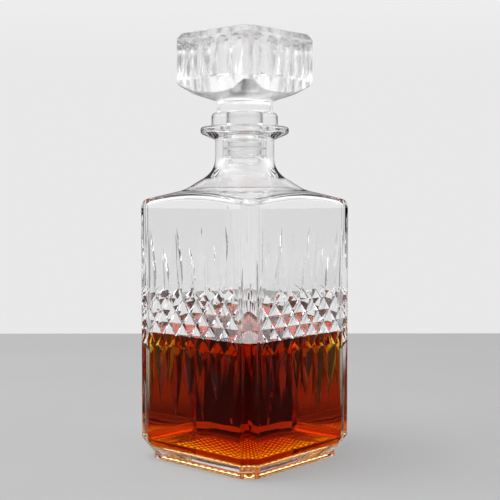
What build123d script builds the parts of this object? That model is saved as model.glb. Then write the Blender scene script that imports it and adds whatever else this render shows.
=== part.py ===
from build123d import *
from math import radians, sqrt, tan
import os

# Square cut crystal decanter: a heavy pressed and cut glass bottle, a faceted glass
# stopper, the clear plastic seal between them, and the spirit inside.
# Units are millimetres and degrees, +Z is up, and the origin is the centre of the
# underside. The four cut faces look along +X, +Y, -X and -Y.

# ---------------------------------------------------------------- driving dimensions
body_width = 90.0              # across two flat faces
corner_cut = 7.2               # leg of the chamfer on each upright corner
foot_inset = 5.0               # how far the foot stands in from the faces
foot_height = 3.6
bevel_top = 12.5               # where the bottom bevel meets the upright faces
crease_height = 142.5          # where the upright faces start to lean in
lean_angle = 12.0              # of the arched panels above the crease
shoulder_line = ((57.5, 147.2), (34.0, 152.8))   # radius and height along the shoulders
neck_radius = 16.7
neck_bottom = 163.5            # where the neck would meet the shoulders
rim_radius = 25.0
rim_foot = 181.0               # where the rim's tapered underside leaves the neck
rim_edge = 184.6               # and where it reaches the outer edge
rim_top = 188.2
wall = 4.0                     # glass between the faces and the inside
floor_height = 8.0             # top of the base inside
floor_rounding = 7.0           # between the inside walls and the floor
well_corner = 8.0              # radius of the inside's upright corners
eaves_height = 146.4           # where the inside walls turn in towards the domed shoulders
eaves_lean = 42.0              # of the glass there, from upright
dome_foot = (57.0, 144.9)      # radius and height of the inside dome over the corners
dome_edge = 33.0               # radius where the inside dome turns up towards the neck
dome_edge_height = 150.9
bore_radius = 12.3
bore_bottom = 163.2            # where the bore would meet the dome
base_panel_width = 72.0        # hollow panel under the base
base_panel_depth = 1.0
base_panel_corner = 4.0

# Cut band of hollow diamonds, with blade flutes above and below it.
columns = 7                    # diamonds and flutes across one flat face
column_pitch = 10.5
row_height = 6.75
band_middle = 79.7
cut_depth = 1.2                # of the valley along the middle of each diamond
valley_share = 0.8             # part of a diamond's half width that its valley takes
long_tip = 131.0               # top ends of the flutes
short_tip = 119.7
flute_angle = 15.5             # slope of a flute's two sides
flute_end_gap = 5.0            # run-out between the flutes and the diamonds
corner_tip = 133.0             # blade on each corner
corner_meet = 112.0            # where that blade reaches the edges of its chamfer
corner_point = 104.6           # where that blade meets the tall corner diamond
corner_depth = 1.9
spirit_drop = 1.5              # of the spirit's level under the band's lower quarter line

# Glass stopper.
head_width = 58.0
head_cut = 4.0                 # leg of the chamfer on each corner of the head
head_face_bottom = 214.0
head_face_top = 237.0
head_top = 240.3
head_bevel_inset = 2.0
head_lean = 22.0               # of the panels below the faces
head_block_bottom = 200.0
head_columns = 5
head_cut_depth = 1.3
stopper_neck_radius = 15.6
head_underside_low = 202.8     # where the head widens from the stopper's neck
head_underside = ((30.4, 207.5), (38.0, 212.0), (45.0, 228.0))   # radius and height
shank_radius = 9.2
shank_bottom = 167.0

# Clear plastic seal, pushed on the shank of the stopper.
seal_play = 0.05               # between the seal and the shank, and the seal and the bore
seal_bottom = 169.0
collar_radius = 18.8
collar_top = 196.3
sleeve_radius = 11.1
fin_heights = (171.5, 176.0, 180.5)
fin_thickness = 1.2

# ---------------------------------------------------------------- worked out from them
half_width = body_width / 2
flat_half = half_width - corner_cut              # half of a face between its chamfers
strip_half = corner_cut / sqrt(2)                # half of a chamfer's width
band_half = columns * column_pitch / 2           # half the width of the cut pattern
column_centres = [(i - (columns - 1) / 2) * column_pitch for i in range(columns)]
band_top = band_middle + 2 * row_height
flute_end = band_top + flute_end_gap
spirit_level = band_middle - row_height - spirit_drop
beyond = 64.0                                    # radius clear of the body's corners


def face_point(side, across, height, depth, half=half_width):
    """Point on a flat face: side 0 looks along -Y, and each next one turns 90 degrees."""
    x, y = across, depth - half
    for _ in range(side):
        x, y = -y, x
    return (x, y, height)


def strip_point(side, across, height, depth, half=half_width, cut=corner_cut):
    """Point on the chamfer that follows that face, to the right of it."""
    out = (2 * half - cut) / sqrt(2) - depth
    x = (out + across) / sqrt(2)
    y = (across - out) / sqrt(2)
    for _ in range(side):
        x, y = -y, x
    return (x, y, height)


def mirrored(polygons, middle):
    """The same panel polygons turned over about a height."""
    return [[(u, 2 * middle - z, n) for u, z, n in polygon] for polygon in polygons]


def flute_tip(column):
    """Flutes are long and short in turn, with long ones at both ends."""
    return long_tip if column % 2 == 0 else short_tip


def flute_outline(column):
    """Half widths of a flute at heights from its tip down, widening quickly at first."""
    tip = flute_tip(column)
    outline = [(0, tip)]
    for share, width in ((0.2, 0.32), (0.5, 0.69), (1, 1)):
        outline.append((width * column_pitch / 2, tip + share * (flute_end - tip)))
    return outline


def flute_polygons():
    """Blade flutes over the band, as (across, height, depth) polygons of one face."""
    polygons = []
    slope = tan(radians(flute_angle))
    reach = valley_share * column_pitch / 2
    for column, centre in enumerate(column_centres):
        outline = flute_outline(column)
        root = (centre, flute_end, slope * column_pitch / 2)
        valley = [(centre + hand * reach, band_top, cut_depth) for hand in (-1, 1)]
        polygons.append([root] + valley)
        for hand, valley_end in zip((-1, 1), valley):
            for (half, height), (wider, lower) in zip(outline, outline[1:]):
                corners = [(centre + hand * half, height, 0), (centre + hand * wider, lower, 0),
                           (centre, lower, slope * wider), (centre, height, slope * half)]
                polygons.append(corners[:3] if half == 0 else corners)
            side = (centre + hand * column_pitch / 2, flute_end, 0)
            ridge = (centre + hand * column_pitch / 2, band_top, 0)
            polygons += [[root, valley_end, ridge], [root, ridge, side]]
    return polygons


def half_diamond(centre, line, up):
    """The part of a hollow diamond above (up = 1) or below (up = -1) its valley."""
    half, reach = column_pitch / 2, valley_share * column_pitch / 2
    height = band_middle + line * row_height
    apex = (centre, height + up * row_height, 0)
    polygons = []
    ends = []
    for hand in (-1, 1):
        corner_u = centre + hand * half
        if abs(corner_u) > band_half + 0.01:
            ends.append((centre, height, 0))
        else:
            end = (centre + hand * reach, height, cut_depth)
            ends.append(end)
            polygons.append([(corner_u, height, 0), end, apex])
    polygons.append([ends[0], ends[1], apex])
    return polygons


def band_polygons():
    """Four rows of triangles: diamonds on five lines, the outer two halved."""
    polygons = []
    for line in (-2, -1, 0, 1, 2):
        if line % 2:
            centres = [column_centres[0] - column_pitch / 2]
            centres += [centre + column_pitch / 2 for centre in column_centres]
        else:
            centres = column_centres
        for centre in centres:
            if line < 2:
                polygons += half_diamond(centre, line, 1)
            if line > -2:
                polygons += half_diamond(centre, line, -1)
    return polygons


def plain_face_polygon():
    """Smooth glass round the upper half of the cut pattern, up to the crease."""
    outline = [(flat_half, band_middle, 0), (flat_half, crease_height, 0),
               (-flat_half, crease_height, 0), (-flat_half, band_middle, 0),
               (-band_half, band_middle, 0)]
    for column, centre in enumerate(column_centres):
        left = [(centre - half, height, 0) for half, height in reversed(flute_outline(column))]
        right = [(centre + half, height, 0) for half, height in flute_outline(column)]
        outline += left + right[1:-1]
    return outline + [(band_half, flute_end, 0), (band_half, band_middle, 0)]


def strip_polygons():
    """Blade and upper half of the tall diamond on one chamfer."""
    tip, point = (0, corner_tip, 0), (0, corner_point, corner_depth)
    polygons = [[(-strip_half, band_middle, 0), (strip_half, band_middle, 0), point]]
    for hand in (-1, 1):
        meet = (hand * strip_half, corner_meet, 0)
        polygons.append([tip, meet, point])
        polygons.append([meet, (hand * strip_half, band_middle, 0), point])
    return polygons


def plain_strip_polygon():
    return [(strip_half, crease_height, 0), (-strip_half, crease_height, 0),
            (-strip_half, corner_meet, 0), (0, corner_tip, 0), (strip_half, corner_meet, 0)]


def lowered(polygon):
    """Mirror image of a plain polygon, ending at the bevel instead of the crease."""
    turned = mirrored([polygon], band_middle)[0]
    crease_image = 2 * band_middle - crease_height
    return [(u, bevel_top if z < crease_image + 0.01 else z, n) for u, z, n in turned]


def octagon(half, cut, height):
    """Corners of a square with cut corners, in the order face, chamfer, face..."""
    points = []
    for side in range(4):
        points.append(face_point(side, cut - half, height, 0, half))
        points.append(face_point(side, half - cut, height, 0, half))
    return points


def ring_walls(lower, upper):
    """Flat walls between two octagons that have the same number of corners."""
    count = len(lower)
    return [[lower[i], lower[(i + 1) % count], upper[(i + 1) % count], upper[i]]
            for i in range(count)]


def with_shared_corners(polygons):
    """Give each polygon the corners of its neighbours that lie along its edges."""
    corners = {tuple(round(value, 5) for value in point) for polygon in polygons
               for point in polygon}
    finished = []
    for polygon in polygons:
        outline = []
        for index, start in enumerate(polygon):
            end = polygon[(index + 1) % len(polygon)]
            span = [b - a for a, b in zip(start, end)]
            length = sqrt(sum(value * value for value in span))
            found = []
            for corner in corners:
                reach = [c - a for a, c in zip(start, corner)]
                along = sum(r * s for r, s in zip(reach, span)) / length
                if 0.001 < along < length - 0.001:
                    gap = sum(r * r for r in reach) - along * along
                    if gap < 1e-7:
                        found.append((along, corner))
            outline.append(start)
            outline += [corner for _, corner in sorted(found)]
        finished.append(outline)
    return finished


def solid_from(polygons):
    """Closed solid whose skin is these flat polygons."""
    faces = [Face(Wire.make_polygon(polygon, close=True)) for polygon in polygons]
    solid = Solid(Shell(faces))
    return solid if solid.volume > 0 else -solid


def cut_block():
    """The outside of the bottle below the shoulders, with every cut facet."""
    face_parts = flute_polygons()
    face_parts += mirrored(flute_polygons(), band_middle)
    face_parts += band_polygons()
    face_parts += [plain_face_polygon(), lowered(plain_face_polygon())]
    strip_parts = strip_polygons() + mirrored(strip_polygons(), band_middle)
    strip_parts += [plain_strip_polygon(), lowered(plain_strip_polygon())]
    skin = []
    for side in range(4):
        skin += [[face_point(side, *point) for point in part] for part in face_parts]
        skin += [[strip_point(side, *point) for point in part] for part in strip_parts]
    foot_half = half_width - foot_inset
    peak_height = rim_top + 10
    peak_half = half_width - tan(radians(lean_angle)) * (peak_height - crease_height)
    foot_bottom = octagon(foot_half, corner_cut, 0)
    foot_top = octagon(foot_half, corner_cut, foot_height)
    peak = octagon(peak_half, corner_cut, peak_height)
    skin.append(foot_bottom)
    skin += ring_walls(foot_bottom, foot_top)
    skin += ring_walls(foot_top, octagon(half_width, corner_cut, bevel_top))
    skin += ring_walls(octagon(half_width, corner_cut, crease_height), peak)
    skin.append(peak)
    return solid_from(with_shared_corners(skin))


def turned(outline):
    """Solid of revolution about the Z axis from an outline of (radius, height)."""
    return revolve(Plane.XZ * make_face(outline), Axis.Z)


def shoulders_and_neck():
    """Turned shape that rounds the shoulders and carries the neck and the rim."""
    start = (beyond, crease_height - 8.5)
    outside = FilletPolyline(start, *shoulder_line, (neck_radius, neck_bottom),
                             (neck_radius, rim_foot), (rim_radius, rim_edge),
                             (rim_radius, rim_top), (0, rim_top),
                             radius=(8, 20, 14, 1.5, 1.8, 1.6))
    rest = Polyline((0, rim_top), (0, -1), (beyond, -1), start)
    return turned(outside + rest)


def rounded_vault():
    """Room between two opposite walls, with rounded corners where the shoulders begin."""
    well_half = half_width - wall
    eaves_top = eaves_height + (well_half - dome_edge) / tan(radians(eaves_lean))
    eaves = [FilletPolyline((hand * well_half, 0), (hand * well_half, eaves_height),
                            (hand * dome_edge, eaves_top), radius=4)
             for hand in (-1, 1)]
    top = Polyline((-dome_edge, eaves_top), (-dome_edge, rim_top + 5),
                   (dome_edge, rim_top + 5), (dome_edge, eaves_top))
    section = make_face(eaves[0] + top + eaves[1] + Line((-well_half, 0), (well_half, 0)))
    return extrude(Plane.XZ * section, body_width, both=True)


def cavity():
    """Inside of the bottle: a rounded square well, domed shoulders and the bore."""
    well_width = body_width - 2 * wall
    floor_plan = RectangleRounded(well_width, well_width, well_corner)
    well = extrude(Pos(0, 0, floor_height) * floor_plan, rim_top + 5 - floor_height)
    well = fillet(well.faces().sort_by(Axis.Z)[0].edges(), floor_rounding)
    start = (beyond, long_tip)
    inside = FilletPolyline(start, dome_foot, (dome_edge, dome_edge_height),
                            (bore_radius, bore_bottom), (bore_radius, rim_top + 1),
                            radius=(4, 20, 16))
    rest = Polyline((bore_radius, rim_top + 1), (0, rim_top + 1), (0, 0), (beyond, 0), start)
    space = well & turned(inside + rest)
    return space & rounded_vault() & Rot(0, 0, 90) * rounded_vault()


def base_hollow():
    """Shallow panel under the base, so the bottle stands on its rim."""
    panel = RectangleRounded(base_panel_width, base_panel_width, base_panel_corner)
    return extrude(Pos(0, 0, -1) * panel, 1 + base_panel_depth)


def bottle():
    glass = cut_block() & shoulders_and_neck()
    return glass - cavity() - base_hollow()


def spirit():
    """What the bottle holds, up to just under the lower quarter line of the band."""
    return cavity() & extrude(Rectangle(body_width, body_width), spirit_level)


def head_flutes():
    """Blade flutes of one head face, cut downwards, with thinner ones between them."""
    flat = head_width / 2 - head_cut
    pitch = 2 * flat / head_columns
    top, bottom = head_face_top - 1.5, head_face_bottom + 4
    thin_tip, thin_half = top - 6, 0.28 * pitch
    polygons = []
    plain_bottom = [(flat, head_face_bottom, 0), (-flat, head_face_bottom, 0)]
    plain_bottom.append((-flat, top, 0))
    for column in range(head_columns):
        centre = (column - (head_columns - 1) / 2) * pitch
        middle = (centre, top, head_cut_depth)
        crown = (centre, head_face_top - 0.4, 0)
        tip = (centre, bottom, 0)
        for hand in (-1, 1):
            shoulder = (centre + hand * pitch / 2, top, 0)
            polygons += [[shoulder, middle, tip], [shoulder, crown, middle]]
        plain_bottom.append(tip)
        plain_bottom.append((centre + pitch / 2, top, 0))
    plain_top = [(-flat, head_face_top, 0), (flat, head_face_top, 0)]
    for column in reversed(range(head_columns)):
        centre = (column - (head_columns - 1) / 2) * pitch
        plain_top += [(centre + pitch / 2, top, 0), (centre, head_face_top - 0.4, 0)]
    plain_top.append((-flat, top, 0))
    thin = []
    for column in range(head_columns - 1):
        centre = (column + 1 - head_columns / 2) * pitch
        tip = (centre, thin_tip, 0)
        root = (centre, bottom, 0.7 * head_cut_depth)
        foot = (centre, bottom - 1.5, 0)
        corners = [(centre + hand * thin_half, bottom, 0) for hand in (-1, 1)]
        polygons += [[corners[0], root, tip], [corners[1], root, tip]]
        polygons += [[corners[0], root, foot], [corners[1], root, foot]]
        thin.append([corners[0], tip, corners[1], foot])
    return polygons, plain_bottom, plain_top, thin


def head_block():
    """The stopper's square head, with its flutes and the bevel round its top."""
    half = head_width / 2
    polygons, plain_bottom, plain_top, thin = head_flutes()
    skin = []
    holed = []
    for side in range(4):
        skin += [[face_point(side, *point, half) for point in part]
                 for part in polygons + [plain_top]]
        outline = [face_point(side, *point, half) for point in plain_bottom]
        holes = [[face_point(side, *point, half) for point in hole] for hole in thin]
        holed.append((outline, holes))
    low_half = half - tan(radians(head_lean)) * (head_face_bottom - head_block_bottom)
    low = octagon(low_half, head_cut, head_block_bottom)
    crease = octagon(half, head_cut, head_face_bottom)
    high = octagon(half, head_cut, head_face_top)
    cap = octagon(half - head_bevel_inset, head_cut, head_top)
    skin += ring_walls(crease, high)[1::2]
    skin += ring_walls(low, crease) + ring_walls(high, cap) + [low, cap]
    skin += [outline for outline, _ in holed]
    skin = with_shared_corners(skin)
    plain_faces = []
    for _, holes in holed:
        outline = skin.pop(len(skin) - len(holed) + len(plain_faces))
        inner = [Wire.make_polygon(hole, close=True) for hole in holes]
        plain_faces.append(Face(Wire.make_polygon(outline, close=True), inner))
    faces = [Face(Wire.make_polygon(polygon, close=True)) for polygon in skin]
    solid = Solid(Shell(faces + plain_faces))
    return solid if solid.volume > 0 else -solid


def stopper():
    """Head, short neck and the shank that holds the seal, in one piece of glass."""
    shank_top = collar_top + seal_play
    under = FilletPolyline((0, shank_bottom), (shank_radius, shank_bottom),
                           (shank_radius, shank_top), (stopper_neck_radius, shank_top),
                           (stopper_neck_radius, head_underside_low), *head_underside,
                           radius=(1.2, 0.4, 0.6, 1.5, 12, 5))
    side = head_underside[-1]
    rest = Polyline(side, (side[0], head_top + 5), (0, head_top + 5), (0, shank_bottom))
    shape = turned(under + rest)
    shank = shape & Pos(0, 0, 190) * Cylinder(stopper_neck_radius + 1, 60)
    return shape & (head_block() + shank)


def seal():
    """Clear sleeve with three sealing fins, and a collar that sits on the rim."""
    inner = shank_radius + seal_play
    fin_radius = bore_radius - seal_play
    collar_bottom = rim_top + seal_play
    collar = FilletPolyline((inner, collar_bottom), (collar_radius, collar_bottom),
                            (collar_radius, collar_top), (inner, collar_top),
                            (inner, collar_top - 1), radius=(1.2, 3.0, 0.6))
    collar_ring = turned(collar + Line((inner, collar_top - 1), (inner, collar_bottom)))
    sleeve_height = collar_bottom + 1 - seal_bottom
    body = Pos(0, 0, seal_bottom + sleeve_height / 2) * Cylinder(sleeve_radius, sleeve_height)
    for height in fin_heights:
        body += Pos(0, 0, height) * Cylinder(fin_radius, fin_thickness)
    body -= Pos(0, 0, seal_bottom + sleeve_height / 2) * Cylinder(inner, sleeve_height + 2)
    return body + collar_ring


nodes = {
    "bottle": bottle(),
    "spirit": spirit(),
    "stopper_seal": seal(),
    "stopper": stopper(),
}

os.makedirs("parts", exist_ok=True)
for name, shape in nodes.items():
    export_step(shape, f"parts/{name}.step")
    print(name, round(shape.volume), shape.bounding_box())
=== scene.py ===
import bmesh
import bpy
from math import cos, hypot, pi, radians, sin, sqrt, tan
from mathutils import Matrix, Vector


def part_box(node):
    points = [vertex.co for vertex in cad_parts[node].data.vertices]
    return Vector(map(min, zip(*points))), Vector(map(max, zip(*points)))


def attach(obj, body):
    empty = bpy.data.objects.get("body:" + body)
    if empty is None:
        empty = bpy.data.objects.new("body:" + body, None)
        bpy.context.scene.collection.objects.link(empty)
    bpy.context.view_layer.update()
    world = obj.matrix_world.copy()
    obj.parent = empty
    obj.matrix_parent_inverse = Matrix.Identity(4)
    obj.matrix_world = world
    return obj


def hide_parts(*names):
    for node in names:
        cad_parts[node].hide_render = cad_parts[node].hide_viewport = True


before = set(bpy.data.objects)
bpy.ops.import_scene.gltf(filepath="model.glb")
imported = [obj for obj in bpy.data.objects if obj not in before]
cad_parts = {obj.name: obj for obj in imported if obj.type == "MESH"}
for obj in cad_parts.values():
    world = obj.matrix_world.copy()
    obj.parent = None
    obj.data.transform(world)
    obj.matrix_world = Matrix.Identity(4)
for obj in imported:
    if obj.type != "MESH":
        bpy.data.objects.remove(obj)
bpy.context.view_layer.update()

# The cut crystal decanter: its glass, seal and spirit are rebuilt here as finely
# faceted meshes with rounded arrises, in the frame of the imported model.
# Lengths are millimetres in the shape code, and metres once a mesh is made.

MM = 0.001


def box_mm(node):
    """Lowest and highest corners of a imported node, in millimetres."""
    low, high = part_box(node)
    return [value / MM for value in low], [value / MM for value in high]


# ------------------------------------------------------------------ sizes from the frame
bottle_high = box_mm("bottle")[1]
spirit_low, spirit_high = box_mm("spirit")
seal_low, seal_high = box_mm("stopper_seal")
stopper_low, stopper_high = box_mm("stopper")

HALF = bottle_high[0]                       # half the width across the faces
RIM_TOP = bottle_high[2]
WELL_HALF = spirit_high[0]
FLOOR = spirit_low[2]
SPIRIT_LEVEL = spirit_high[2]
COLLAR_RADIUS = seal_high[0]
COLLAR_TOP = seal_high[2]
SEAL_BOTTOM = seal_low[2]
HEAD_HALF = stopper_high[0]
HEAD_TOP = stopper_high[2]
SHANK_BOTTOM = stopper_low[2]

# ------------------------------------------------------------------ the bottle's own sizes
CORNER_CUT = 7.2                            # leg of the chamfer between two faces
ARRIS = 0.45                                # flat lost to the rounding of an upright arris
FOOT_HALF = HALF - 5.0
FOOT_HEIGHT = 3.6
BEVEL_TOP = 12.5                            # the bevel runs from here down to the foot
CREASE = 142.5                              # where the upright faces end
LEAN = tan(radians(12.0))                   # of the arched panels over the crease
NECK_RADIUS = 16.7
RIM_RADIUS = 25.0
RIM_FOOT = 181.0                            # tapered underside of the rim
RIM_EDGE = 184.6
BORE_RADIUS = 12.3
CLEARANCE = 0.05                            # between two pieces that don't touch

# Turned outlines of the shoulders, outside and inside: (radius, height).
SHOULDER = [(NECK_RADIUS, 163.5), (34, 152.8), (57.5, 147.2), (64, 145.7)]
INSIDE_SHOULDER = [(BORE_RADIUS, 163.2), (33, 150.9), (57, 144.9), (62, 143.6)]
EDGE_ROUND = 0.9                            # rounding of the shoulders' edge over a face
EDGE_ROUND_MORE = 4.5                       # and what a chamfer adds to it
CORNER_FROM = 0.6                           # ratio of x and y where a chamfer's share starts
CORNER_SPAN = 0.24                          # and how far it rises until the share is full
HALVINGS = 40                               # steps in the search for where surfaces meet

# The inside, a rounded square well, and the drink in it.
WELL_CORNER = 8.0
WELL_SHOULDER = 4.0
FLOOR_ROUND = 7.0
MENISCUS = 1.3                              # the drink climbs this high at the wall,
MENISCUS_REACH = 3.2                        # starting this far from it
WET_TOP = SPIRIT_LEVEL + MENISCUS
SPIRIT_OVERLAP = 0.12                       # the drink reaches this far into the glass

# The hollow panel under the base and its studs.
BASE_PANEL_HALF = 36.0
BASE_PANEL_DEPTH = 1.8
PANEL_CUT = 4.0                             # leg of the panel's cut corners
BASE_GRID_HALF = 34.8
BASE_CELLS = 14                             # studs along one side of the panel
STUD_HEIGHT = 1.7
CELL_STEPS = 8                              # mesh steps across one stud

# The cut pattern.
FLAT = HALF - CORNER_CUT                    # half of a face between its chamfers
STRIP = CORNER_CUT / sqrt(2)                # half of a chamfer's width
COLUMNS = 7
PITCH = 10.5
BAND_HALF = COLUMNS * PITCH / 2             # half the width of the cut pattern
CENTRES = [(i - (COLUMNS - 1) / 2) * PITCH for i in range(COLUMNS)]
ROW = 6.75                                  # height of one row of triangles
MIDDLE = 79.7                               # middle line of the diamond band
CUT_DEPTH = 1.2
VALLEY = 0.8 * PITCH / 2                    # half length of the valley in a diamond
BAND_TOP = MIDDLE + 2 * ROW
FLUTE_END = BAND_TOP + 5.0                  # full width of a flute, which then runs out
LONG_TIP = 131.0
SHORT_TIP = 119.7
STRIP_TIP = 133.0                           # tip of the blade on a chamfer
PLAIN_FROM = 136.0                          # smooth glass from here up
PLAIN_DOWN = BEVEL_TOP + 2                  # and from here down
BLADE_CURVE = 1.7                           # power that gives a blade its bowed sides
FLUTE_ANGLE = tan(radians(15.5))
STRIP_ANGLE = tan(radians(22.0))

# Mesh steps across a face, a chamfer and the rounding between them.
FACE_COUNT = 8 * COLUMNS
STRIP_COUNT = 8
ARC_STEPS = 3
MOST_ROUNDED = 0.49                         # share of a line that a rounded corner may use
TINY = 0.001                                # for comparing lengths


class Skin:
    """Points and polygons in millimetres, merged where points coincide."""

    def __init__(self):
        self.points = []
        self.index = {}
        self.faces = []
        self.groups = []

    def point(self, place):
        key = tuple(round(value, 3) for value in place)
        if key not in self.index:
            self.index[key] = len(self.points)
            self.points.append(place)
        return self.index[key]

    def add(self, places, group):
        """One polygon. Faces of the same group meet smoothly, all others at an edge."""
        corners = []
        for place in places:
            number = self.point(place)
            if number not in corners:
                corners.append(number)
        if len(corners) > 2:
            self.faces.append(corners)
            self.groups.append(group)

    def make(self, name, material, wet_material=None):
        """The Blender object, with sharp edges between the groups."""
        mesh = bpy.data.meshes.new(name)
        mesh.from_pydata([[value * MM for value in place] for place in self.points], [], self.faces)
        skin = bmesh.new()
        skin.from_mesh(mesh)
        bmesh.ops.recalc_face_normals(skin, faces=skin.faces)
        skin.to_mesh(mesh)
        skin.free()
        mesh.polygons.foreach_set("use_smooth", [True] * len(self.faces))
        sides = {}
        for number, polygon in enumerate(mesh.polygons):
            for edge in polygon.edge_keys:
                sides.setdefault(edge, []).append(self.groups[number])
        for edge in mesh.edges:
            groups = sides[tuple(sorted(edge.vertices))]
            edge.use_edge_sharp = groups[0] != groups[1] and "wet" not in groups
        mesh.materials.append(material)
        if wet_material:
            mesh.materials.append(wet_material)
            wet = [int(group == "wet") for group in self.groups]
            mesh.polygons.foreach_set("material_index", wet)
        piece = bpy.data.objects.new(name, mesh)
        bpy.context.collection.objects.link(piece)
        weighted = piece.modifiers.new("even_normals", "WEIGHTED_NORMAL")
        weighted.mode = "FACE_AREA"
        weighted.keep_sharp = True
        return piece


def quarter(side, x, y, z):
    """Turn a point by quarter turns about the vertical axis."""
    for turn in range(side):
        x, y = -y, x
    return (x, y, z)


def face_point(side, across, height, depth, half):
    """Point across a face, at a height and a depth under its surface."""
    return quarter(side, across, depth - half, height)


def strip_point(side, across, height, depth, half, cut):
    """Point across the chamfer that follows a face, at a height and a depth under it."""
    out = (2 * half - cut) / sqrt(2) - depth
    return quarter(side, (out + across) / sqrt(2), (across - out) / sqrt(2), height)


# ------------------------------------------------------------------ cut pattern
def flute_tip(column):
    """Height of a flute's tip: long and short flutes in turn."""
    return LONG_TIP if column % 2 == 0 else SHORT_TIP


def blade_share(height, tip):
    """Share of its full width that a blade has at a height, opening from its tip."""
    if height >= tip:
        return 0.0
    share = (tip - height) / (tip - FLUTE_END)
    return 1 - (1 - share) ** BLADE_CURVE


def flute_half(column, height):
    """Half width of a flute."""
    return PITCH / 2 * blade_share(height, flute_tip(column))


def strip_half_width(height):
    """Half width of the blade on a chamfer."""
    return STRIP * blade_share(height, STRIP_TIP)


def spread(low, high, count):
    """Evenly spaced numbers, both ends included."""
    return [low + (high - low) * i / count for i in range(count + 1)]


FLUTE_ROWS = spread(FLUTE_END, SHORT_TIP, 10) + spread(SHORT_TIP, LONG_TIP, 6)[1:] + [STRIP_TIP]
STRIP_POINT = FLUTE_ROWS[3]                 # apex of the tall diamond on a chamfer


class Panel:
    """Writes polygons given in the plane of a face or chamfer, and their mirror image."""

    def __init__(self, skin, place, name):
        self.skin = skin
        self.place = place
        self.name = name

    def add(self, corners, group, mirror=True):
        self.skin.add([self.place(*corner) for corner in corners], (self.name, group))
        if mirror:
            turned = [self.place(u, 2 * MIDDLE - z, n) for u, z, n in reversed(corners)]
            self.skin.add(turned, (self.name, group, "low"))


def add_flutes(panel, border):
    """Blade flutes of one face, from the run-out above the band to their tips."""
    def row(height):
        line = [(-border, height, 0)]
        for column, centre in enumerate(CENTRES):
            half = flute_half(column, height)
            line += [(centre - half, height, 0), (centre, height, half * FLUTE_ANGLE),
                     (centre + half, height, 0)]
        return line + [(border, height, 0)]

    for low, high in zip(FLUTE_ROWS, FLUTE_ROWS[1:]):
        below, above = row(low), row(high)
        for i in range(len(below) - 1):
            corners = [below[i], below[i + 1], above[i + 1], above[i]]
            flat = i % 3 == 0
            group = "plain" if flat else ("flute", i)
            panel.add(corners, group)
    for column, centre in enumerate(CENTRES):
        root = (centre, FLUTE_END, PITCH / 2 * FLUTE_ANGLE)
        valley = [(centre + hand * VALLEY, BAND_TOP, CUT_DEPTH) for hand in (-1, 1)]
        panel.add([root] + valley, ("run", column))
        for hand, end in zip((-1, 1), valley):
            edge = centre + hand * PITCH / 2
            low, high = (edge, BAND_TOP, 0), (edge, FLUTE_END, 0)
            for part, corners in enumerate(([root, end, low], [root, low, high])):
                panel.add(corners, ("run", column, hand, part))


def half_diamond(panel, centre, line, up):
    """The part of a hollow diamond over (up = 1) or under (up = -1) its valley.

    The diamonds at the ends of the band are cut in half, so their valley ends at the centre.
    """
    height = MIDDLE + line * ROW
    apex = (centre, height + up * ROW, 0)
    ends = []
    for hand in (-1, 1):
        corner = centre + hand * PITCH / 2
        if abs(corner) > BAND_HALF + TINY:
            ends.append((centre, height, 0))
        else:
            end = (centre + hand * VALLEY, height, CUT_DEPTH)
            ends.append(end)
            panel.add([(corner, height, 0), end, apex], ("hip", centre, line, up, hand),
                      mirror=False)
    panel.add([ends[0], ends[1], apex], ("facet", centre, line, up), mirror=False)


def add_band(panel, border):
    """The band of hollow diamonds, and the plain glass at its two ends."""
    for line in (-2, -1, 0, 1, 2):
        centres = CENTRES
        if line % 2:
            centres = [CENTRES[0] - PITCH / 2] + [c + PITCH / 2 for c in CENTRES]
        for centre in centres:
            if line < 2:
                half_diamond(panel, centre, line, 1)
            if line > -2:
                half_diamond(panel, centre, line, -1)
    heights = [MIDDLE, MIDDLE + ROW, BAND_TOP, FLUTE_END]
    for hand in (-1, 1):
        for low, high in zip(heights, heights[1:]):
            inner, outer = hand * BAND_HALF, hand * border
            panel.add([(inner, low, 0), (outer, low, 0), (outer, high, 0), (inner, high, 0)],
                      "plain")


def add_strip(panel, border):
    """Blade and tall diamond of one chamfer, over its middle."""
    heights = [MIDDLE, MIDDLE + ROW, BAND_TOP] + FLUTE_ROWS
    point_depth = strip_half_width(STRIP_POINT) * STRIP_ANGLE

    def tall_row(height):
        share = (height - MIDDLE) / (STRIP_POINT - MIDDLE)
        half = border * (1 - share)
        depth = point_depth * share
        return [(-border, height, 0), (-half, height, depth), (0, height, depth),
                (half, height, depth), (border, height, 0)]

    def blade_row(height):
        half = min(strip_half_width(height), border)
        depth = point_depth if height == STRIP_POINT else half * STRIP_ANGLE
        return [(-border, height, 0), (-half, height, 0), (0, height, depth), (half, height, 0),
                (border, height, 0)]

    for low, high in zip(heights, heights[1:]):
        if high == STRIP_POINT:
            below, above = tall_row(low), blade_row(high)
            panel.add(above[2::-1] + below[:2], ("side", -1))
            panel.add(below[3:] + above[:1:-1], ("side", 1))
            panel.add([below[1], below[2], above[2]], "tall")
            panel.add([below[2], below[3], above[2]], "tall")
            continue
        if high < STRIP_POINT:
            below, above = tall_row(low), tall_row(high)
            groups = [("side", -1), "tall", "tall", ("side", 1)]
        else:
            below, above = blade_row(low), blade_row(high)
            groups = ["plain", ("blade", 1), ("blade", 2), "plain"]
        for i, group in enumerate(groups):
            panel.add([below[i], below[i + 1], above[i + 1], above[i]], group)


def arc_between(start, corner, end, steps):
    """Points of a rounded corner, both ends included."""
    points = []
    for step in range(steps + 1):
        t = step / steps
        points.append(tuple((1 - t) ** 2 * a + 2 * t * (1 - t) * b + t * t * c
                            for a, b, c in zip(start, corner, end)))
    return points


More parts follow.
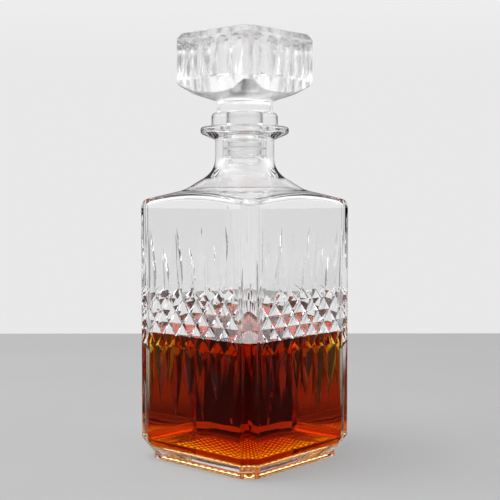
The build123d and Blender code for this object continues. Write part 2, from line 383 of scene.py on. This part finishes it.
def arris_arcs(side, height, half, cut, arris=ARRIS):
    """The rounded arrises on the two sides of the chamfer that follows a face."""
    flat = half - cut
    strip = cut / sqrt(2)
    following = (side + 1) % 4
    first = arc_between(face_point(side, flat - arris, height, 0, half),
                        face_point(side, flat, height, 0, half),
                        strip_point(side, arris - strip, height, 0, half, cut), ARC_STEPS)
    second = arc_between(strip_point(side, strip - arris, height, 0, half, cut),
                         face_point(following, -flat, height, 0, half),
                         face_point(following, arris - flat, height, 0, half), ARC_STEPS)
    return first, second


def add_arrises(skin, side, low, high, group, half=HALF, cut=CORNER_CUT, arris=ARRIS):
    """The two arrises that follow a face, from one height to another."""
    for below, above in zip(arris_arcs(side, low, half, cut, arris),
                            arris_arcs(side, high, half, cut, arris)):
        for i in range(ARC_STEPS):
            skin.add([below[i], below[i + 1], above[i + 1], above[i]], group)


def side_rows(side, height, half, cut, arris=ARRIS):
    """Fine points of one face and of the chamfer after it, ends included."""
    flat = half - cut - arris
    strip = cut / sqrt(2) - arris
    face = [face_point(side, u, height, 0, half) for u in spread(-flat, flat, FACE_COUNT)]
    chamfer = [strip_point(side, u, height, 0, half, cut)
               for u in spread(-strip, strip, STRIP_COUNT)]
    return face, chamfer


def around(height, half, cut, arris=ARRIS):
    """A closed ring of points: faces, arrises and chamfers in turn, anticlockwise."""
    ring = []
    for side in range(4):
        face, chamfer = side_rows(side, height, half, cut, arris)
        first, second = arris_arcs(side, height, half, cut, arris)
        ring += face[:-1] + first[:-1] + chamfer[:-1] + second[:-1]
    return ring


def join_columns(skin, columns, group):
    """Skin between neighbouring columns of points, all with as many points."""
    count = len(columns)
    for i, column in enumerate(columns):
        other = columns[(i + 1) % count]
        for a, b, c, d in zip(column, other, other[1:], column[1:]):
            skin.add([a, b, c, d], group)


def rounded(points, corners):
    """Outline with rounded corners: one (radius, steps) for each inner point."""
    outline = [points[0]]
    for before, corner, after, (radius, steps) in zip(points, points[1:], points[2:], corners):
        corner = Vector(corner)
        back = Vector(before) - corner
        on = Vector(after) - corner
        angle = back.angle(on)
        room = MOST_ROUNDED * min(back.length, on.length)
        reach = min(radius / tan(angle / 2), room)
        outline += arc_between(corner + back.normalized() * reach, corner,
                               corner + on.normalized() * reach, steps)
    outline.append(points[-1])
    return outline


def at_radius(place, radius, height):
    """Point in the direction of another, at a radius and a height."""
    scale = radius / hypot(place[0], place[1])
    return (place[0] * scale, place[1] * scale, height)


def height_on(profile, radius):
    """Height of a turned profile, given as (radius, height) points outwards."""
    for (r0, z0), (r1, z1) in zip(profile, profile[1:]):
        if radius <= r1 or (r1, z1) == profile[-1]:
            return z0 + (z1 - z0) * (radius - r0) / (r1 - r0)


def arch_point(place, half, crease, rise, profile):
    """Where a leaning panel, starting at a crease, meets a turned surface."""
    reach = hypot(place[0], place[1])
    low, high = profile[0][0], reach
    for halving in range(HALVINGS):
        radius = (low + high) / 2
        panel_height = crease + rise * (1 - radius / reach) * half
        if (panel_height - height_on(profile, radius)) * rise > 0:
            low = radius
        else:
            high = radius
    return at_radius(place, radius, height_on(profile, radius))


# ------------------------------------------------------------------ bottle
def add_cut_zone(skin):
    """The four faces and chamfers, as far as the cuts reach."""
    heights = [MIDDLE, MIDDLE + ROW, BAND_TOP] + FLUTE_ROWS
    heights = [2 * MIDDLE - z for z in reversed(heights)] + heights[1:]
    for side in range(4):
        face = Panel(skin, lambda u, z, n, s=side: face_point(s, u, z, n, HALF), ("face", side))
        add_flutes(face, FLAT - ARRIS)
        add_band(face, FLAT - ARRIS)
        strip = Panel(skin, lambda u, z, n, s=side: strip_point(s, u, z, n, HALF, CORNER_CUT),
                      ("strip", side))
        add_strip(strip, STRIP - ARRIS)
        for low, high in zip(heights, heights[1:]):
            add_arrises(skin, side, low, high, "arris")


def bridge(skin, coarse, fine, steps):
    """Polygons from a row of a few points to a row of many. steps pairs the points up."""
    for i in range(len(coarse) - 1):
        skin.add([coarse[i], coarse[i + 1]] + fine[steps[i]:steps[i + 1] + 1][::-1], "shell")


def add_plain_ends(skin):
    """Plain glass from the ends of the cuts to the fine rings above and below."""
    face_marks = [ARRIS - FLAT] + CENTRES + [FLAT - ARRIS]
    per_column = FACE_COUNT // COLUMNS
    face_steps = [0] + [per_column // 2 + per_column * i for i in range(COLUMNS)] + [FACE_COUNT]
    strip_marks = [ARRIS - STRIP, 0, STRIP - ARRIS]
    strip_steps = [0, STRIP_COUNT // 2, STRIP_COUNT]
    for near, far in ((STRIP_TIP, PLAIN_FROM), (2 * MIDDLE - STRIP_TIP, PLAIN_DOWN)):
        for side in range(4):
            face, chamfer = side_rows(side, far, HALF, CORNER_CUT)
            coarse = [face_point(side, u, near, 0, HALF) for u in face_marks]
            bridge(skin, coarse, face, face_steps)
            coarse = [strip_point(side, u, near, 0, HALF, CORNER_CUT) for u in strip_marks]
            bridge(skin, coarse, chamfer, strip_steps)
            add_arrises(skin, side, near, far, "shell")


def well_radius(place, grow=0.0):
    """Radius of the inside wall, a rounded square, in the direction of a point."""
    x, y = abs(place[0]), abs(place[1])
    reach = hypot(x, y)
    x, y = max(x, y) / reach, min(x, y) / reach
    half, corner = WELL_HALF + grow, WELL_CORNER + grow
    centre = half - corner
    if y / x * half <= centre:
        return half / x
    along = centre * (x + y)
    return along + sqrt(along * along - 2 * centre * centre + corner * corner)


def corner_share(place):
    """0 over the middle of a face, 1 over a chamfer."""
    x, y = abs(place[0]), abs(place[1])
    share = min(x, y) / max(x, y)
    return min(max((share - CORNER_FROM) / CORNER_SPAN, 0), 1)


def bottle_column(place):
    """One upright outline of the bottle: its dry part and the part that the drink wets."""
    inside = well_radius(place)
    points = [
        place,
        (place[0], place[1], CREASE),
        arch_point(place, HALF, CREASE, 1 / LEAN, SHOULDER),
        at_radius(place, *SHOULDER[1]),
        at_radius(place, *SHOULDER[0]),
        at_radius(place, NECK_RADIUS, RIM_FOOT),
        at_radius(place, RIM_RADIUS, RIM_EDGE),
        at_radius(place, RIM_RADIUS, RIM_TOP),
        at_radius(place, BORE_RADIUS, RIM_TOP),
        at_radius(place, *INSIDE_SHOULDER[0]),
        at_radius(place, *INSIDE_SHOULDER[1]),
        at_radius(place, inside, height_on(INSIDE_SHOULDER, inside)),
        at_radius(place, inside, WET_TOP),
    ]
    corners = [
        (1.6, 4),                           # crease
        (EDGE_ROUND + EDGE_ROUND_MORE * corner_share(place), 6),
        (20, 6),                            # shoulders
        (14, 14),                           # foot of the neck
        (1.5, 6),                           # top of the neck, under the rim
        (1.8, 8),                           # lower edge of the rim
        (1.6, 8),                           # upper edge of the rim
        (1.0, 4),                           # mouth
        (16, 14),                           # foot of the bore
        (20, 8),                            # roof of the inside
        (WELL_SHOULDER, 12),
    ]
    wet_points = [at_radius(place, inside, WET_TOP), at_radius(place, inside, FLOOR),
                  at_radius(place, 0, FLOOR)]
    return rounded(points, corners), rounded(wet_points, [(FLOOR_ROUND, 10)])


def foot_column(ring_places):
    """Outline from the plain glass down over the bevel and the foot to the base panel."""
    corners = [
        (2.0, 4),                           # top of the bevel
        (1.0, 4),                           # top of the foot
        (0.7, 4),                           # outer edge that the bottle stands on
        (0.4, 2),                           # inner edge, at the panel
    ]
    return rounded(ring_places, corners)


def add_base_cells(skin):
    """Small rounded studs in the hollow panel under the base."""
    size = 2 * BASE_GRID_HALF / BASE_CELLS
    rows = BASE_CELLS * CELL_STEPS
    places = []
    for i in range(rows + 1):
        line = []
        for j in range(rows + 1):
            u, v = i / CELL_STEPS % 1, j / CELL_STEPS % 1
            share = sin(pi * u) * sin(pi * v)
            drop = STUD_HEIGHT * share * share * (3 - 2 * share)
            line.append((-BASE_GRID_HALF + size * i / CELL_STEPS,
                         -BASE_GRID_HALF + size * j / CELL_STEPS, BASE_PANEL_DEPTH - drop))
        places.append(line)
    for low, high in zip(places, places[1:]):
        for a, b, c, d in zip(low, high, high[1:], low[1:]):
            skin.add([a, b, c, d], "base")
    return places


def add_base(skin):
    """The panel round the studs, joined to the foot's inner edge."""
    places = add_base_cells(skin)
    edges = [[line[0] for line in places], places[-1],
             [line[-1] for line in reversed(places)], places[0][::-1]]
    for side in range(4):
        face, chamfer = side_rows(side, BASE_PANEL_DEPTH, BASE_PANEL_HALF, PANEL_CUT)
        first, second = arris_arcs(side, BASE_PANEL_DEPTH, BASE_PANEL_HALF, PANEL_CUT)
        skin.add(face + edges[side][::-1], "panel")
        corner = edges[side][-1]
        skin.add([corner] + first[:-1] + chamfer[:-1] + second, "panel")


def make_bottle(material, wet_material):
    """The whole bottle. Wet_material is for the inside that the drink touches."""
    skin = Skin()
    add_cut_zone(skin)
    add_plain_ends(skin)
    dry, wet = zip(*[bottle_column(place) for place in around(PLAIN_FROM, HALF, CORNER_CUT)])
    join_columns(skin, dry, "shell")
    join_columns(skin, wet, "wet")
    rings = zip(around(PLAIN_DOWN, HALF, CORNER_CUT), around(BEVEL_TOP, HALF, CORNER_CUT),
                around(FOOT_HEIGHT, FOOT_HALF, CORNER_CUT), around(0, FOOT_HALF, CORNER_CUT),
                around(0, BASE_PANEL_HALF, PANEL_CUT),
                around(BASE_PANEL_DEPTH, BASE_PANEL_HALF, PANEL_CUT))
    join_columns(skin, [foot_column(places) for places in rings], "foot")
    add_base(skin)
    return skin.make("crystal_bottle", material, wet_material)


# ------------------------------------------------------------------ spirit
def make_spirit(material):
    """The drink, a hair larger than the well so that it wets the glass."""
    skin = Skin()
    columns = []
    low = FLOOR - SPIRIT_OVERLAP
    for place in around(PLAIN_FROM, HALF, CORNER_CUT):
        wall = well_radius(place, SPIRIT_OVERLAP)
        points = [
            at_radius(place, 0, SPIRIT_LEVEL),
            at_radius(place, wall - MENISCUS_REACH, SPIRIT_LEVEL),
            at_radius(place, wall, WET_TOP),
            at_radius(place, wall, low),
            at_radius(place, 0, low),
        ]
        corners = [
            (6, 6),                         # hollow of the meniscus
            (0.02, 1),                      # its edge at the wall
            (FLOOR_ROUND + SPIRIT_OVERLAP, 10),
        ]
        columns.append(rounded(points, corners))
    join_columns(skin, columns, "drink")
    return skin.make("amber_spirit", material)


# ------------------------------------------------------------------ stopper
HEAD_CUT = 4.0                              # leg of the head's chamfers
HEAD_ARRIS = 0.35
HEAD_FLAT = HEAD_HALF - HEAD_CUT
HEAD_STRIP = HEAD_CUT / sqrt(2)             # half of a chamfer's width
HEAD_COLUMNS = 5
HEAD_PITCH = 2 * HEAD_FLAT / HEAD_COLUMNS
HEAD_CREASE = 214.0
HEAD_FACE_TOP = 237.0
HEAD_BEVEL = 2.0
HEAD_LEAN = tan(radians(22.0))              # of the arched panels under the crease
HEAD_SHAPE = (HEAD_HALF, HEAD_CUT, HEAD_ARRIS)
STOPPER_NECK = 15.6
SHANK_RADIUS = 9.2
UNDERSIDE = [(STOPPER_NECK, 202.8), (30.4, 207.5), (38, 212), (45, 217)]
NECK_FLARE = (24, 205.4)                    # the neck opens into the underside here
HEAD_CREASE_DROP = 0.4                      # its rounding ends this far under it
HEAD_EDGE_ROUND = 1.2                       # rounding of the underside's edge over a face
HEAD_EDGE_ROUND_MORE = 3.0                  # and what a chamfer adds to it

# The flutes of the head, from their feet to their scalloped crowns.
FLUTE_HIGH = 236.0
FLUTE_LOW = 215.2
CROWN_FROM = 231.0                          # finer rows of the mesh from here up
CROWN_HEIGHT = 4.5
TAPER_FROM = 230.0
TAPER = 0.9                                 # share of its width that a flute loses
TAPER_CURVE = 1.4
WIDE_SHARE = 0.48                           # half width of a flute over the pitch
GAP_SHARE = 0.49
THIN_TIP = 232.0
THIN_SLOPE = 0.3

# Heights where the fluted faces meet the rings under and over them.
HEAD_RING_LOW = HEAD_CREASE + 0.25
HEAD_PLAIN_LOW = HEAD_CREASE + 0.5
HEAD_RING_HIGH = FLUTE_HIGH + 0.3


def wide_half(height):
    """Half width of a wide head flute: a scalloped top, tapering to its foot."""
    crown = min((FLUTE_HIGH - height) / CROWN_HEIGHT, 1)
    taper = max((TAPER_FROM - height) / (TAPER_FROM - FLUTE_LOW), 0)
    return (WIDE_SHARE * HEAD_PITCH * sqrt(max(1 - (1 - crown) ** 2, 0))
            * (1 - TAPER * taper ** TAPER_CURVE))


def thin_half(height):
    """Half width of a thin flute, which fills the gap between two wide ones."""
    gap = GAP_SHARE * HEAD_PITCH - wide_half(height)
    return max(min(gap, THIN_SLOPE * (THIN_TIP - height)), 0)


def head_row(height, flat):
    """Points across one head face at a height: (across, height, depth)."""
    line = [(-flat, height, 0)]
    for number in range(2 * HEAD_COLUMNS - 1):
        middle = (number / 2 - (HEAD_COLUMNS - 1) / 2) * HEAD_PITCH
        half = thin_half(height) if number % 2 else wide_half(height)
        line += [(middle - half, height, 0), (middle, height, half * FLUTE_ANGLE),
                 (middle + half, height, 0)]
    return line + [(flat, height, 0)]


def add_head_flutes(skin, side, rows):
    """Polygons of one face. The lowest slope from plain glass into the feet of the flutes."""
    for number, (below, above) in enumerate(zip(rows, rows[1:])):
        for i in range(len(below) - 1):
            if i % 3 == 0:
                group = "head"
            elif number == 0:
                group = ("flute end", side, i)
            else:
                group = ("head flute", side, i)
            corners = [below[i], below[i + 1], above[i + 1], above[i]]
            skin.add([face_point(side, *corner, HEAD_HALF) for corner in corners], group)


def add_head_end(skin, side, row, ring_height):
    """Plain glass between the last row of a face and chamfer and the fine ring beyond it."""
    face, chamfer = side_rows(side, ring_height, *HEAD_SHAPE)
    near = row[0][1]
    places = [face_point(side, point[0], near, 0, HEAD_HALF) for point in row]
    coarse = list(dict.fromkeys(places))
    steps = [round(FACE_COUNT * i / (len(coarse) - 1)) for i in range(len(coarse))]
    bridge(skin, coarse, face, steps)
    strip = HEAD_STRIP - HEAD_ARRIS
    pair = [strip_point(side, u, near, 0, HEAD_HALF, HEAD_CUT) for u in (-strip, strip)]
    bridge(skin, pair, chamfer, [0, STRIP_COUNT])


def add_head_faces(skin):
    """The four fluted faces of the head and the chamfers between them."""
    strip = HEAD_STRIP - HEAD_ARRIS
    heights = spread(FLUTE_LOW, CROWN_FROM, 12) + spread(CROWN_FROM, FLUTE_HIGH, 8)[1:]
    rows = [head_row(height, HEAD_FLAT - HEAD_ARRIS) for height in heights]
    rows = [[(point[0], HEAD_PLAIN_LOW, 0) for point in rows[0]]] + rows
    levels = [HEAD_PLAIN_LOW] + heights
    for side in range(4):
        add_head_flutes(skin, side, rows)
        add_head_end(skin, side, rows[0], HEAD_RING_LOW)
        add_head_end(skin, side, rows[-1], HEAD_RING_HIGH)
        add_arrises(skin, side, HEAD_RING_LOW, HEAD_PLAIN_LOW, "head", *HEAD_SHAPE)
        for low, high in zip(levels, levels[1:]):
            add_arrises(skin, side, low, high, "head", *HEAD_SHAPE)
            corners = [(-strip, low), (strip, low), (strip, high), (-strip, high)]
            skin.add([strip_point(side, u, z, 0, HEAD_HALF, HEAD_CUT) for u, z in corners],
                     "head")
        add_arrises(skin, side, FLUTE_HIGH, HEAD_RING_HIGH, "head", *HEAD_SHAPE)


def head_top_column(low, edge, cap):
    """Outline from the faces over the bevel to the middle of the top."""
    return rounded([low, edge, cap, at_radius(cap, 0, HEAD_TOP)], [(0.5, 3), (0.9, 4)])


def underside_column(place):
    """Outline from the head's crease down over the underside, the neck and the shank."""
    points = [
        place,
        (place[0], place[1], HEAD_CREASE - HEAD_CREASE_DROP),
        arch_point(place, HEAD_HALF, HEAD_CREASE, -1 / HEAD_LEAN, UNDERSIDE),
        at_radius(place, *NECK_FLARE),
        at_radius(place, *UNDERSIDE[0]),
        at_radius(place, STOPPER_NECK, COLLAR_TOP + CLEARANCE),
        at_radius(place, SHANK_RADIUS, COLLAR_TOP + CLEARANCE),
        at_radius(place, SHANK_RADIUS, SHANK_BOTTOM),
        at_radius(place, 0, SHANK_BOTTOM),
    ]
    corners = [
        (0.6, 3),                           # crease
        (HEAD_EDGE_ROUND + HEAD_EDGE_ROUND_MORE * corner_share(place), 5),
        (20, 4),                            # bowl of the underside
        (1.8, 6),                           # top of the neck
        (0.6, 3),                           # foot of the neck
        (0.2, 2),                           # top of the shank
        (1.2, 4),                           # end of the shank
    ]
    return rounded(points, corners)


def make_stopper(material):
    """The stopper's head, neck and shank."""
    skin = Skin()
    add_head_faces(skin)
    rings = zip(around(HEAD_RING_HIGH, *HEAD_SHAPE), around(HEAD_FACE_TOP, *HEAD_SHAPE),
                around(HEAD_TOP, HEAD_HALF - HEAD_BEVEL, HEAD_CUT, HEAD_ARRIS))
    join_columns(skin, [head_top_column(*places) for places in rings], "head")
    columns = [underside_column(place) for place in around(HEAD_RING_LOW, *HEAD_SHAPE)]
    join_columns(skin, columns, "head")
    return skin.make("crystal_stopper", material)


# ------------------------------------------------------------------ seal
SEAL_COUNT = 128                            # mesh steps round it
SLEEVE_RADIUS = 11.1
FIN_RADIUS = BORE_RADIUS - CLEARANCE
FIN_HEIGHTS = (171.5, 176.0, 180.5)
FIN_EDGE = 0.35                             # half thickness of a fin at its edge
FIN_BELOW = 0.6                             # and at the sleeve, under its middle
FIN_ABOVE = 0.9                             # and over it


def make_seal(material):
    """Clear sleeve with three fins and a round collar."""
    inner = SHANK_RADIUS + CLEARANCE
    collar_bottom = RIM_TOP + CLEARANCE
    outline = [(inner, SEAL_BOTTOM), (SLEEVE_RADIUS - 0.4, SEAL_BOTTOM),
               (SLEEVE_RADIUS, SEAL_BOTTOM + 0.8)]
    corners = [(0.3, 2), (0.3, 2)]
    for height in FIN_HEIGHTS:
        outline += [(SLEEVE_RADIUS, height - FIN_BELOW), (FIN_RADIUS, height - FIN_EDGE),
                    (FIN_RADIUS, height + FIN_EDGE), (SLEEVE_RADIUS, height + FIN_ABOVE)]
        corners += [(0.25, 2)] * 4
    outline += [(SLEEVE_RADIUS, collar_bottom), (COLLAR_RADIUS, collar_bottom),
                (COLLAR_RADIUS, COLLAR_TOP), (inner, COLLAR_TOP), (inner, SEAL_BOTTOM + 0.3)]
    corners += [(0.5, 3), (1.2, 6), (3.0, 10), (0.6, 3)]
    turned = rounded([(radius, 0, height) for radius, height in outline], corners)
    turned.append(turned[0])
    skin = Skin()
    columns = []
    for step in range(SEAL_COUNT):
        angle = 2 * pi * step / SEAL_COUNT
        columns.append([(point[0] * cos(angle), point[0] * sin(angle), point[2])
                        for point in turned])
    join_columns(skin, columns, "seal")
    return skin.make("clear_seal", material)


# ------------------------------------------------------------------ materials
# Sockets of a colour mix.
FACTOR, FIRST, SECOND, MIXED = 0, 6, 7, 2


def set_inputs(node, values):
    """Constant values for a node's inputs."""
    for socket, value in values.items():
        node.inputs[socket].default_value = value


def new_material(name, values):
    """A material with the given constant inputs, its node tree and its shader."""
    material = bpy.data.materials.new(name)
    material.use_nodes = True
    shader = material.node_tree.nodes["Principled BSDF"]
    set_inputs(shader, values)
    return material, material.node_tree, shader


def new_node(tree, kind, values=None, **settings):
    """A shader node with its settings and its constant inputs."""
    node = tree.nodes.new("ShaderNode" + kind)
    for setting, value in settings.items():
        setattr(node, setting, value)
    set_inputs(node, values or {})
    return node


def colour_mix(tree, values):
    """A mix of two colours."""
    return new_node(tree, "Mix", values, data_type="RGBA")


def noise(tree, scale, detail):
    """Noise that is fixed to the piece."""
    place = new_node(tree, "TexCoord")
    texture = new_node(tree, "TexNoise", {"Scale": scale, "Detail": detail})
    tree.links.new(place.outputs["Object"], texture.inputs["Vector"])
    return texture


def add_bump(tree, shader, texture, strength, distance):
    """Relief on a shader's surface from a texture."""
    bump = new_node(tree, "Bump", {"Strength": strength, "Distance": distance})
    tree.links.new(texture.outputs["Fac"], bump.inputs["Height"])
    tree.links.new(bump.outputs["Normal"], shader.inputs["Normal"])


def crystal_material(name, roughness, mirror=1.0):
    """Clear pressed crystal: faintly wavy skin, with a trace of handling on it."""
    material, tree, shader = new_material(name, {
        "Base Color": (0.985, 0.992, 0.99, 1),
        "Specular Tint": (mirror, mirror, mirror, 1),
        "Transmission Weight": 1.0,
        "IOR": 1.52,
    })
    film = noise(tree, 90.0, 4.0)
    dull = new_node(tree, "MapRange", {"From Min": 0.55, "From Max": 0.8,
                                       "To Min": roughness, "To Max": roughness + 0.035})
    tree.links.new(film.outputs["Fac"], dull.inputs["Value"])
    tree.links.new(dull.outputs["Result"], shader.inputs["Roughness"])
    add_bump(tree, shader, noise(tree, 60.0, 2.0), 0.12, 0.0006)
    return material


def spirit_material():
    """Amber spirit: clear, and darker the deeper it is. It mirrors nothing, as the glass
    it wets, because mirror images between the two would veil the colour."""
    material, tree, shader = new_material("spirit", {
        "Base Color": (1, 1, 1, 1),
        "Specular Tint": (0, 0, 0, 1),
        "Transmission Weight": 1.0,
        "IOR": 1.36,
        "Roughness": 0.0,
    })
    body = new_node(tree, "VolumeAbsorption", {"Color": (0.957, 0.803, 0.0, 1), "Density": 220.0})
    tree.links.new(body.outputs["Volume"], tree.nodes["Material Output"].inputs["Volume"])
    return material


def seal_material():
    """Clear soft plastic, slightly milky, with fine turning marks."""
    material, tree, shader = new_material("seal_plastic", {
        "Base Color": (0.985, 0.99, 0.985, 1),
        "Transmission Weight": 1.0,
        "IOR": 1.48,
    })
    cloud = noise(tree, 220.0, 3.0)
    dull = new_node(tree, "MapRange", {"To Min": 0.03, "To Max": 0.12})
    tree.links.new(cloud.outputs["Fac"], dull.inputs["Value"])
    tree.links.new(dull.outputs["Result"], shader.inputs["Roughness"])
    add_bump(tree, shader, cloud, 0.25, 0.0002)
    return material


def distance_along(tree, output, axis):
    """How far a point lies along an axis, either way."""
    along = new_node(tree, "VectorMath", {1: axis}, operation="DOT_PRODUCT")
    tree.links.new(output, along.inputs[0])
    either_way = new_node(tree, "Math", operation="ABSOLUTE")
    tree.links.new(along.outputs["Value"], either_way.inputs[0])
    return either_way.outputs["Value"]


def ramp(tree, output, low, high):
    """A smooth step from 0 to 1 between two values."""
    step = new_node(tree, "MapRange", {"From Min": low, "From Max": high},
                    interpolation_type="SMOOTHSTEP")
    tree.links.new(output, step.inputs["Value"])
    return step.outputs["Result"]


def floor_material():
    """Pale matt table top, faintly lit from inside where the camera sees it.

    Through the glass it is as dark as granite ahead of the part and behind it, and beside it
    a painted pool of side light makes it bright. In mirror images it is nearly black.
    """
    material, tree, shader = new_material("pale_table", {
        "Roughness": 0.7,
        "Specular IOR Level": 0.1,
        "Emission Color": (1, 1, 1, 1),
    })
    links = tree.links
    pale = colour_mix(tree, {FIRST: (0.40, 0.40, 0.41, 1), SECOND: (0.46, 0.46, 0.46, 1)})
    links.new(noise(tree, 9.0, 5.0).outputs["Fac"], pale.inputs[FACTOR])
    place = new_node(tree, "TexCoord")
    # Painted side light: seen through the glass, the table is dark ahead of the part and behind it,
    # but painted bright beside it.
    beside = ramp(tree, distance_along(tree, place.outputs["Object"], VIEW_RIGHT), 0.04, 0.15)
    stone_and_side_light = colour_mix(tree, {FIRST: (0.08, 0.07, 0.065, 1), SECOND: (0.9, 0.9, 0.9, 1)})
    links.new(beside, stone_and_side_light.inputs[FACTOR])
    path = new_node(tree, "LightPath")
    seen = colour_mix(tree, {})
    links.new(path.outputs["Is Camera Ray"], seen.inputs[FACTOR])
    links.new(stone_and_side_light.outputs[MIXED], seen.inputs[FIRST])
    links.new(pale.outputs[MIXED], seen.inputs[SECOND])
    mirrored = colour_mix(tree, {SECOND: (0.01, 0.01, 0.01, 1)})
    links.new(path.outputs["Is Reflection Ray"], mirrored.inputs[FACTOR])
    links.new(seen.outputs[MIXED], mirrored.inputs[FIRST])
    links.new(mirrored.outputs[MIXED], shader.inputs["Base Color"])
    glow = new_node(tree, "MapRange", {"To Max": 0.3})
    links.new(path.outputs["Is Camera Ray"], glow.inputs["Value"])
    links.new(glow.outputs["Result"], shader.inputs["Emission Strength"])
    return material


# ------------------------------------------------------------------ studio
VIEW_AZIMUTH = radians(42.2)
VIEW_AXIS = (-sin(VIEW_AZIMUTH), cos(VIEW_AZIMUTH), 0)   # from the camera to the part
VIEW_RIGHT = (cos(VIEW_AZIMUTH), sin(VIEW_AZIMUTH), 0)
FLOOR_NEAR = -0.9                           # reach of the floor along the view, in metres
FLOOR_FAR = 0.532
FLOOR_SIDE = 0.45
GLOW_CARD_HALF = 0.033
PART_MIDDLE = (0, 0, 0.12)                  # the lights face this point


def add_sheet(name, corners, height, material):
    """A flat sheet of the studio."""
    mesh = bpy.data.meshes.new(name)
    mesh.from_pydata(corners, [], [(0, 1, 2, 3)])
    mesh.materials.append(material)
    sheet = bpy.data.objects.new(name, mesh)
    sheet.location.z = height
    bpy.context.collection.objects.link(sheet)


def make_floor():
    """Table top whose far edge is the line where it meets the wall."""
    ahead = Vector(VIEW_AXIS)
    side = Vector(VIEW_RIGHT) * FLOOR_SIDE
    corners = [ahead * FLOOR_NEAR - side, ahead * FLOOR_NEAR + side,
               ahead * FLOOR_FAR + side, ahead * FLOOR_FAR - side]
    add_sheet("floor", corners, -0.0001, floor_material())


def make_glow_card():
    """Small sheet under the base that glows warm, painted light like the glow that spirit throws on
    a table.
    """
    # Painted light: the sheet glows warm under the base, though it is no lamp.
    material = new_material("glow_card", {
        "Base Color": (0.8, 0.8, 0.8, 1),
        "Emission Color": (1, 0.75, 0.33, 1),
        "Emission Strength": 2.0,
    })[0]
    corners = [(-GLOW_CARD_HALF, -GLOW_CARD_HALF, 0), (GLOW_CARD_HALF, -GLOW_CARD_HALF, 0),
               (GLOW_CARD_HALF, GLOW_CARD_HALF, 0), (-GLOW_CARD_HALF, GLOW_CARD_HALF, 0)]
    add_sheet("glow_card", corners, -0.00005, material)


def make_world():
    """Pale wall behind and in front, dark screens at the two sides, soft light from above.

    It is dimmed in mirror images.
    """
    world = bpy.data.worlds.new("studio")
    world.use_nodes = True
    bpy.context.scene.world = world
    tree = world.node_tree
    links = tree.links
    background = tree.nodes["Background"]
    place = new_node(tree, "TexCoord")
    direction = place.outputs["Generated"]
    upwards = new_node(tree, "SeparateXYZ")
    links.new(direction, upwards.inputs["Vector"])
    wall = ramp(tree, distance_along(tree, direction, VIEW_AXIS), 0.38, 0.58)
    ceiling = ramp(tree, upwards.outputs["Z"], 0.10, 0.40)
    lit = new_node(tree, "Math", operation="MAXIMUM")
    links.new(wall, lit.inputs[0])
    links.new(ceiling, lit.inputs[1])
    shade = colour_mix(tree, {FIRST: (0.30, 0.30, 0.30, 1), SECOND: (0.82, 0.81, 0.82, 1)})
    links.new(lit.outputs["Value"], shade.inputs[FACTOR])
    links.new(shade.outputs[MIXED], background.inputs["Color"])
    path = new_node(tree, "LightPath")
    dimmed = new_node(tree, "MapRange", {"To Min": 1.0, "To Max": 0.15})
    links.new(path.outputs["Is Reflection Ray"], dimmed.inputs["Value"])
    brighter = new_node(tree, "MapRange", {"To Min": 1.0, "To Max": 1.3})
    links.new(ceiling, brighter.inputs["Value"])
    both = new_node(tree, "Math", operation="MULTIPLY")
    links.new(dimmed.outputs["Result"], both.inputs[0])
    links.new(brighter.outputs["Result"], both.inputs[1])
    links.new(both.outputs["Value"], background.inputs["Strength"])


def add_light(name, place, size, power):
    """A rectangular soft light that faces the part."""
    data = bpy.data.lights.new(name, "AREA")
    data.shape = "RECTANGLE"
    data.size, data.size_y = size
    data.energy = power
    light = bpy.data.objects.new(name, data)
    light.location = place
    towards = Vector(PART_MIDDLE) - Vector(place)
    light.rotation_euler = towards.to_track_quat("-Z", "Y").to_euler()
    bpy.context.collection.objects.link(light)


def make_camera():
    """Nearly level view on the corner between two faces, from just above the shoulders."""
    distance, height = 0.596, 0.1497
    tilt, pan = radians(-3.0), radians(-0.29)
    data = bpy.data.cameras.new("view")
    data.sensor_width = 36.0
    data.lens = 75.2904
    camera = bpy.data.objects.new("view", data)
    camera.location = (sin(VIEW_AZIMUTH) * distance, -cos(VIEW_AZIMUTH) * distance, height)
    camera.rotation_euler = (radians(90) + tilt, 0, VIEW_AZIMUTH + pan)
    bpy.context.collection.objects.link(camera)
    bpy.context.scene.camera = camera


crystal = crystal_material("crystal", 0.0)
# Glass wetted by spirit mirrors hardly any light, so its material mirrors none.
bottle = make_bottle(crystal, crystal_material("wet_crystal", 0.0, mirror=0.0))
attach(bottle, "bottle")
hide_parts("bottle")
spirit = make_spirit(spirit_material())
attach(spirit, "bottle")
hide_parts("spirit")
stopper = make_stopper(crystal_material("stopper_crystal", 0.17))
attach(stopper, "stopper")
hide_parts("stopper")
seal = make_seal(seal_material())
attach(seal, "seal")
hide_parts("stopper_seal")

make_floor()
make_glow_card()
make_world()
make_camera()
add_light("key", (-0.741, -0.672, 0.42), (0.9, 0.22), 1.2)
add_light("fill", (0.741, 0.672, 0.42), (0.9, 0.22), 1.0)
add_light("above", (-0.3, -0.4, 1.3), (0.9, 0.9), 7)

scene = bpy.context.scene
scene.view_settings.view_transform = "Standard"
scene.cycles.use_denoising = True
scene.cycles.max_bounces = 24
scene.cycles.transmission_bounces = 24
scene.cycles.glossy_bounces = 12
scene.cycles.transparent_max_bounces = 16
